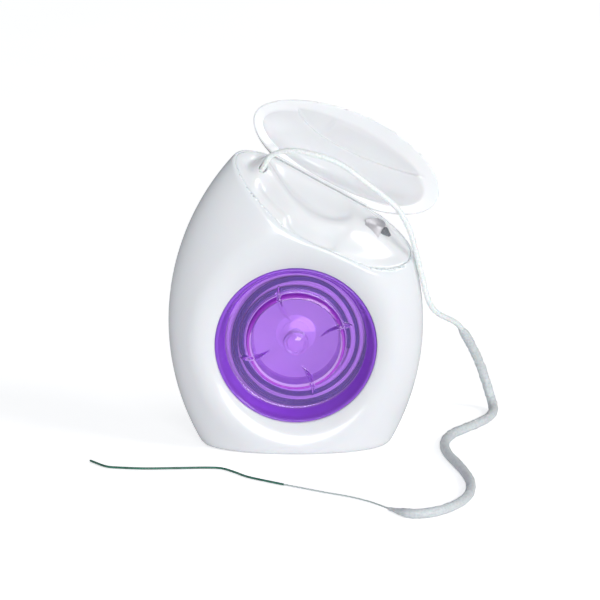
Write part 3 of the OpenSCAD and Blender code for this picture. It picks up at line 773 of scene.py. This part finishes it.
def plate(outline, lean, thick, back=0.0):
    """A flat plate with chamfered edges, which leans back from its foot line on the deck."""
    s, t = np.array(outline).T
    rings = []
    for depth, shrink in ((back, CHAMFER), (back + CHAMFER, 0.0), (back + thick - CHAMFER, 0.0),
                          (back + thick, CHAMFER)):
        a = s + (s.mean() - s) * shrink * 0.5
        b = t + (t.mean() - t) * shrink * 0.5
        w = FOOT_W - b * math.sin(lean) - depth * math.cos(lean)
        v = seam(FOOT_W) + FOOT_HIGH + b * math.cos(lean) - depth * math.sin(lean)
        rings.append(from_hinge(FOOT_U + a, w, v))
    n = len(s)
    verts = np.vstack(rings)
    faces = [list(range(n)), [3 * n + i for i in range(n)][::-1]]
    for k in range(3):
        faces += [[k * n + i, (k + 1) * n + i, (k + 1) * n + (i + 1) % n, k * n + (i + 1) % n] for i in range(n)]
    return verts, faces


# The tooth plate, set back behind the blade, carries the darker steel as painted shade in the notch
cutter = new_piece("cutter_form", *join([plate(BLADE, 0.55, 0.3), plate(TOOTH_SHADE_PLATE, -0.35, 0.22, 0.22)]),
                   steel, "steel", "housing", "cutter_blade")
cutter.data.shade_flat()
cutter.data.materials.append(tooth_shade_steel)
TOOTH_SHADE_SLOT, BLADE_VERTS = 1, 4 * len(BLADE)
for face in cutter.data.polygons:
    if min(face.vertices) >= BLADE_VERTS:
        face.material_index = TOOTH_SHADE_SLOT


# ---------------------------------------------------------------- floor and light
FLOOR_GLOW, SKY_LIGHT, SKY_SEEN = 0.56, 0.36, 1.05
FLOOR_HALF = 4
ground, tree, shader = material("floor_paper", (0.93, 0.935, 0.945), 0.9)
paper = ramp(tree, noise(tree, 30, 2), (0.92, 0.925, 0.935), (0.94, 0.945, 0.955))
tree.links.new(paper, shader.inputs["Base Color"])
bump(tree, shader, noise(tree, 900, 3), 0.00002, 0.3)
glow = tree.nodes.new("ShaderNodeEmission")
seen = tree.nodes.new("ShaderNodeLightPath")
share = tree.nodes.new("ShaderNodeMath")
share.operation = "MULTIPLY"
share.inputs[1].default_value = FLOOR_GLOW
total = tree.nodes.new("ShaderNodeAddShader")
tree.links.new(seen.outputs["Is Camera Ray"], share.inputs[0])
tree.links.new(share.outputs[0], glow.inputs["Strength"])
tree.links.new(shader.outputs["BSDF"], total.inputs[0])
tree.links.new(glow.outputs["Emission"], total.inputs[1])
tree.links.new(total.outputs[0], tree.nodes["Material Output"].inputs["Surface"])
floor_mesh = bpy.data.meshes.new("floor")
floor_mesh.from_pydata([(a * FLOOR_HALF, b * FLOOR_HALF, 0) for a, b in ((-1, -1), (1, -1), (1, 1), (-1, 1))],
                       [], [(0, 1, 2, 3)])
floor_mesh.materials.append(ground)
floor = bpy.data.objects.new("floor", floor_mesh)
floor.location.z = -0.00002
bpy.context.scene.collection.objects.link(floor)

world = bpy.data.worlds.new("studio")
bpy.context.scene.world = world
world.use_nodes = True
tree = world.node_tree
sky = tree.nodes["Background"]
sky.inputs["Color"].default_value = (0.95, 0.97, 1.0, 1)
path_kind = tree.nodes.new("ShaderNodeLightPath")
widest = tree.nodes.new("ShaderNodeMath")
widest.operation = "MAXIMUM"
tree.links.new(path_kind.outputs["Is Camera Ray"], widest.inputs[0])
tree.links.new(path_kind.outputs["Is Transmission Ray"], widest.inputs[1])
level = tree.nodes.new("ShaderNodeMapRange")
level.inputs["To Min"].default_value = SKY_LIGHT
level.inputs["To Max"].default_value = SKY_SEEN
tree.links.new(widest.outputs[0], level.inputs["Value"])
tree.links.new(level.outputs["Result"], sky.inputs["Strength"])


def lamp(name, place, size, power, color=(1, 1, 1)):
    """A round lamp that points at the dispenser's middle."""
    data = bpy.data.lights.new(name, "AREA")
    data.shape = "DISK"
    data.size = size
    data.energy = power
    data.color = color
    o = bpy.data.objects.new(name, data)
    o.location = place
    o.rotation_euler = (Vector((0, 0, 0.03)) - o.location).to_track_quat("-Z", "Y").to_euler()
    bpy.context.scene.collection.objects.link(o)


lamp("key", (0.8, -0.35, 0.65), 0.4, 3.1, (1, 0.985, 0.96))
lamp("front", (0.2, -1.08, 0.05), 0.8, 12.0)

bpy.context.scene.view_settings.view_transform = "Standard"
